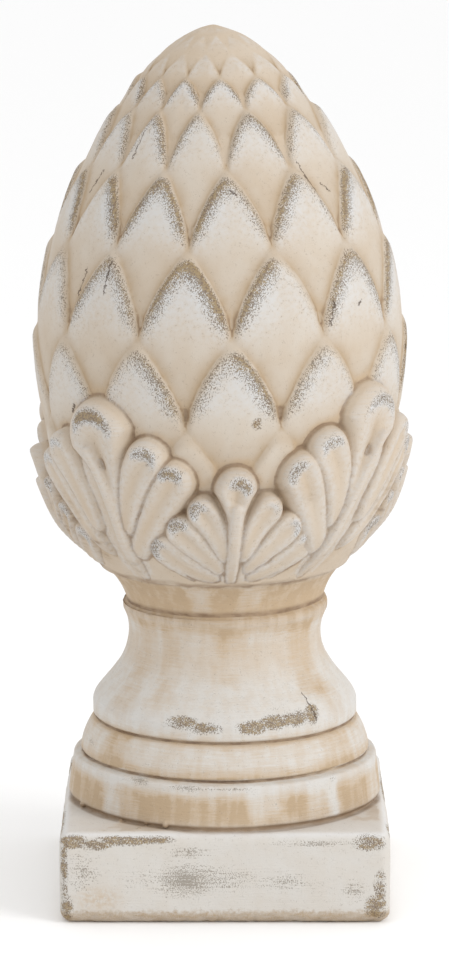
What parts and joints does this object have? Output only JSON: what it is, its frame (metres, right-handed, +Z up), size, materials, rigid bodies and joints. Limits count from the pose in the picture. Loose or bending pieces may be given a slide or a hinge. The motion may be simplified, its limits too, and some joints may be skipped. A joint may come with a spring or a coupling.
{
  "type": "pinecone finial",
  "caption": "Cast garden or mantel finial: an egg-shaped pinecone in a cup of leaves on a waisted turned foot and a square plinth",
  "frame": {"origin": "the middle of the plinth's flat underside, on the ground", "axes": "+Z up the foot towards the tip of the cone, +X to the right and -Y towards the viewer of the front"},
  "size_m": [0.199, 0.199, 0.4499],
  "materials": {
    "painted_casting": "matt cream paint on a mineral casting, dry-brushed white and rubbed back, with a tan wash in the hollows"
  },
  "bodies": {
    "root": {"pinecone_finial": "painted_casting"}
  },
  "joints": []
}
